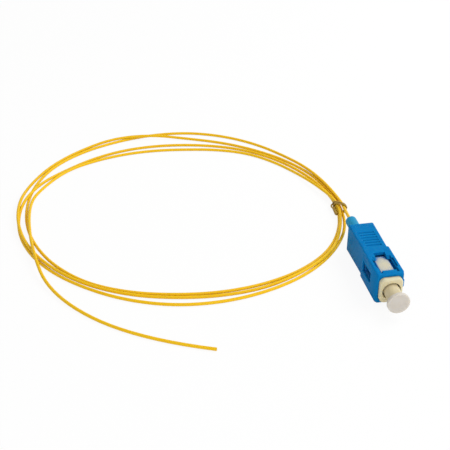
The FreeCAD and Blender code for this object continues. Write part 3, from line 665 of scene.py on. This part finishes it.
def turned(name, outline, start, way, rounding):
    """Turns an outline of (along, radius) corners in mm about an axis, and rounds the rims."""
    mesh = bpy.data.meshes.new(name)
    faces = bmesh.new()
    corners = [faces.verts.new((step, radius, 0.0)) for step, radius in outline]
    sides = [faces.edges.new(pair) for pair in zip(corners, corners[1:])]
    bmesh.ops.spin(faces, geom=corners + sides, cent=(0, 0, 0), axis=(1, 0, 0), angle=one_turn,
                   steps=TURN_STEPS, use_merge=True)
    bmesh.ops.remove_doubles(faces, verts=faces.verts, dist=MERGE / MM)
    bmesh.ops.recalc_face_normals(faces, faces=faces.faces)
    turn = Vector((1, 0, 0)).rotation_difference(way).to_matrix().to_4x4()
    faces.transform(Matrix.Translation(start) @ turn @ Matrix.Scale(MM, 4))
    faces.to_mesh(mesh)
    faces.free()
    return soften(new_piece(name, mesh), rounding, RIM_STEPS)


CAP_STEM = 4.2
CAP_BORE = 2.6
CAP_HEAD_THICKNESS = 1.0
CAP_EDGE = 0.2 * MM
cap_low, cap_high = [Vector(corner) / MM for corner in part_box("dust_cap")]
cap_length = cap_high.x - cap_low.x
cap_head = (cap_high.y - cap_low.y) / 2
head_rear = cap_length - CAP_HEAD_THICKNESS
cap_outline = [(head_rear, 0.0), (head_rear, CAP_BORE / 2), (0.0, CAP_BORE / 2), (0.0, CAP_STEM / 2),
               (head_rear, CAP_STEM / 2), (head_rear, cap_head), (cap_length, cap_head), (cap_length, 0.0)]
plug_axis = Vector((1.0, 0.0, 0.0))
cap = turned("milky_cap", cap_outline, Vector((cap_low.x * MM, 0.0, axis_height)), plug_axis, CAP_EDGE)

BOOT_NECK = 3.2
BOOT_SKIRT = 5.0
BOOT_BARREL = 3.4
BOOT_BORE = 1.0
BOOT_GUIDE = 1.5
SKIRT_LENGTH = 4.5
TAPER_LENGTH = 1.4
BOOT_EDGE = 0.3 * MM
boot_low, boot_high = [Vector(corner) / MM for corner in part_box("boot")]
boot_length = boot_high.x - boot_low.x
skirt_rear = boot_length - SKIRT_LENGTH
taper_rear = skirt_rear - TAPER_LENGTH
boot_outline = [(0.0, BOOT_BORE / 2), (0.0, BOOT_NECK / 2), (taper_rear, BOOT_NECK / 2),
                (skirt_rear, BOOT_SKIRT / 2), (boot_length, BOOT_SKIRT / 2), (boot_length, BOOT_BARREL / 2),
                (skirt_rear, BOOT_BARREL / 2), (skirt_rear, BOOT_GUIDE / 2), (taper_rear, BOOT_BORE / 2),
                (0.0, BOOT_BORE / 2)]
boot = turned("rubber_boot", boot_outline, Vector((boot_low.x * MM, 0.0, axis_height)), plug_axis, BOOT_EDGE)
print(f"cap {cap_length:.1f} mm and boot {boot_length:.1f} mm long")

# %% Polyethylene and rubbery plastic
# The stem is painted creamier than the head: painted light for the glow through its thin wall.
PAINTED_GLOW_FADE = 0.4

painted_glow_ends = (cap_low.x + head_rear - PAINTED_GLOW_FADE, cap_low.x + head_rear)
milky_pe = plastic("moulded polyethylene, milky",
                   ("#d8ccaa", "#d3cdc5", *painted_glow_ends), ("#cfc29f", "#cac3b9", *painted_glow_ends),
                   cloud=2.5, grain=0.35, depth=0.004, roughness=0.42, uneven=0.06,
                   settings={"IOR": 1.51, "Specular IOR Level": 0.15, "Subsurface Weight": 0.6,
                             "Subsurface Scale": 1.3 * MM, "Subsurface Radius": (1.0, 0.95, 0.8)})
# A dark teal painted shade where other surfaces come close to the boot.
boot_rubber = plastic("moulded thermoplastic rubber, light blue", "#2699c6", "#228fba", cloud=3.0, grain=0.25,
                      depth=0.012, roughness=0.5, uneven=0.05,
                      settings={"IOR": 1.5, "Specular IOR Level": 0.12}, painted_shade="#14506e")
for piece, body, node, slot, finish in ((cap, "cap", "dust_cap", "cap_milky", milky_pe),
                                        (boot, "plug", "boot", "boot_blue", boot_rubber)):
    piece.data.materials.append(finish)
    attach(piece, body)
    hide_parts(node)
    print(piece.name, "has", len(piece.data.polygons), "faces")

# %% [markdown]
# ## The cut end
# The tail was cut square across. The cut shows what the fibre is: the yellow buffer, a clear coating in its
# middle, and the glass as a bright dot. They stand proud by a few hundredths of a millimetre, because the soft
# buffer draws back from the blade. The coating and the glass are drawn thicker than life, so that they show.

# %% Cut end
COATING = 0.34
GLASS = 0.18
CUT_PROUD = 0.03
CUT_DEPTH = 0.3
CUT_EDGE = 0.01 * MM

tail_end = fibre_path[-1]
cut_faces = (tail_end - fibre_path[-2]).normalized()
cut_outline = [(-CUT_DEPTH, 0.0), (-CUT_DEPTH, COATING / 2), (CUT_PROUD, COATING / 2), (CUT_PROUD, GLASS / 2),
               (2 * CUT_PROUD, GLASS / 2), (2 * CUT_PROUD, 0.0)]
cut_end = turned("cut_end", cut_outline, tail_end, cut_faces, CUT_EDGE)

# Glass in a clear acrylate coat: pale, glossy and partly see-through.
glass_coat = plastic("drawn glass in clear acrylate", "#e9ece8", "#d9ddd8", cloud=0.4, grain=0.2, depth=0.004,
                     roughness=0.14, uneven=0.04, settings={"IOR": 1.49, "Transmission Weight": 0.5})
cut_end.data.materials.append(glass_coat)
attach(cut_end, "plug")
print("the cut end faces", [round(v, 2) for v in cut_faces])

# %% [markdown]
# ## The pieces inside
# The ferrule, its holder, the stop ring, the guide tube and the fibre in the plug keep their CAD shape. They
# show through the slot, and when the cap is off. Zirconia is polished like china and bends light strongly, the
# metal parts are turned brass with a nickel plate, and the guide tube is an extruded clear nylon.

# %% Finishes of the inner CAD parts
zirconia = plastic("polished zirconia", "#f3f1ec", "#e8e6e0", cloud=3.0, grain=0.2, depth=0.002,
                   roughness=0.12, uneven=0.03, settings={"IOR": 2.1, "Subsurface Weight": 0.1,
                                                          "Subsurface Scale": 0.5 * MM,
                                                          "Subsurface Radius": (1.0, 0.95, 0.9)})
clear_nylon = plastic("extruded nylon, clear", "#ece9df", "#dedbd0", cloud=2.0, grain=0.3, depth=0.005,
                      roughness=0.3, uneven=0.05, settings={"IOR": 1.53, "Transmission Weight": 0.4})
inner_finishes = {"ferrule": zirconia, "ferrule_flange": nickel, "stop_ring": nickel, "guide_tube": clear_nylon,
                  "buffer_stub": buffer_pvc, "bare_fibre": glass_coat}
for node, finish in inner_finishes.items():
    parts[node].material_slots[0].material = finish
    print(node, "is", finish.name)

# %% [markdown]
# ## Floor and light
# The pigtail lies on white paper under soft light. A large lamp from behind on the right makes the tops
# bright and leaves the left faces in shade, as in the photograph, and the pale sky fills those in. To the
# camera the floor is lifted most of the way to white, but it is still a lit surface, so the shadows stay.

# %% Floor
FLOOR_SIDE = 3.0
FLOOR_DROP = 0.02 * MM
FLOOR_LIFT = 0.91

half = FLOOR_SIDE / 2
floor_mesh = bpy.data.meshes.new("floor")
floor_mesh.from_pydata([(-half, -half, -FLOOR_DROP), (half, -half, -FLOOR_DROP),
                        (half, half, -FLOOR_DROP), (-half, half, -FLOOR_DROP)], [], [(0, 1, 2, 3)])
floor = new_piece("floor", floor_mesh)


def seen_directly(tree):
    """A socket that is 1 where the camera looks, by itself or through gloss or glass, and 0 for plain light."""
    rays = add(tree, "ShaderNodeLightPath").outputs
    seen = rays["Is Camera Ray"]
    for kind in ("Is Glossy Ray", "Is Transmission Ray"):
        seen = add(tree, "ShaderNodeMath", {"operation": "MAXIMUM"}, {0: seen, 1: rays[kind]}).outputs[0]
    return seen


paper, tree = blank("white paper")
share = add(tree, "ShaderNodeMath", {"operation": "MULTIPLY", 1: FLOOR_LIFT}, {0: seen_directly(tree)})
matt = add(tree, "ShaderNodeBsdfDiffuse", {"Color": linear("#fafaf9")})
white = add(tree, "ShaderNodeEmission", {"Color": linear("#ffffff"), "Strength": 1.0})
mixed = add(tree, "ShaderNodeMixShader", {}, {0: share.outputs[0], 1: matt.outputs[0], 2: white.outputs[0]})
add(tree, "ShaderNodeOutputMaterial", {}, {"Surface": mixed.outputs[0]})
floor_mesh.materials.append(paper)
print(f"floor {FLOOR_SIDE:.0f} m square")

# %% Lamps and sky
# Each lamp has a place and a side in metres, and a power in watts.
LAMPS = {
    "window behind": ((-0.15, 0.35, 0.45), 0.35, 2.0),
    "card in front": ((0.45, 0.03, 0.25), 0.40, 0.95),
}
SKY = 0.50
AIM = Vector((-0.02, -0.02, 0.0))

for name, (place, side, power) in LAMPS.items():
    lamp_data = bpy.data.lights.new(name, "AREA")
    lamp_data.size = side
    lamp_data.energy = power
    lamp = new_piece(name, lamp_data)
    lamp.location = place
    lamp.rotation_euler = (AIM - Vector(place)).to_track_quat("-Z", "Y").to_euler()

world = bpy.data.worlds.new("pale sky")
bpy.context.scene.world = world
world.use_nodes = True
tree = world.node_tree
tree.nodes.clear()
sky = add(tree, "ShaderNodeBackground", {"Color": linear("#ffffff"), "Strength": SKY})
backdrop = add(tree, "ShaderNodeBackground", {"Color": linear("#ffffff"), "Strength": 1.0})
mixed = add(tree, "ShaderNodeMixShader", {},
            {0: seen_directly(tree), 1: sky.outputs[0], 2: backdrop.outputs[0]})
add(tree, "ShaderNodeOutputWorld", {}, {"Surface": mixed.outputs[0]})
bpy.context.scene.view_settings.view_transform = "Standard"
print("lamps:", ", ".join(LAMPS))
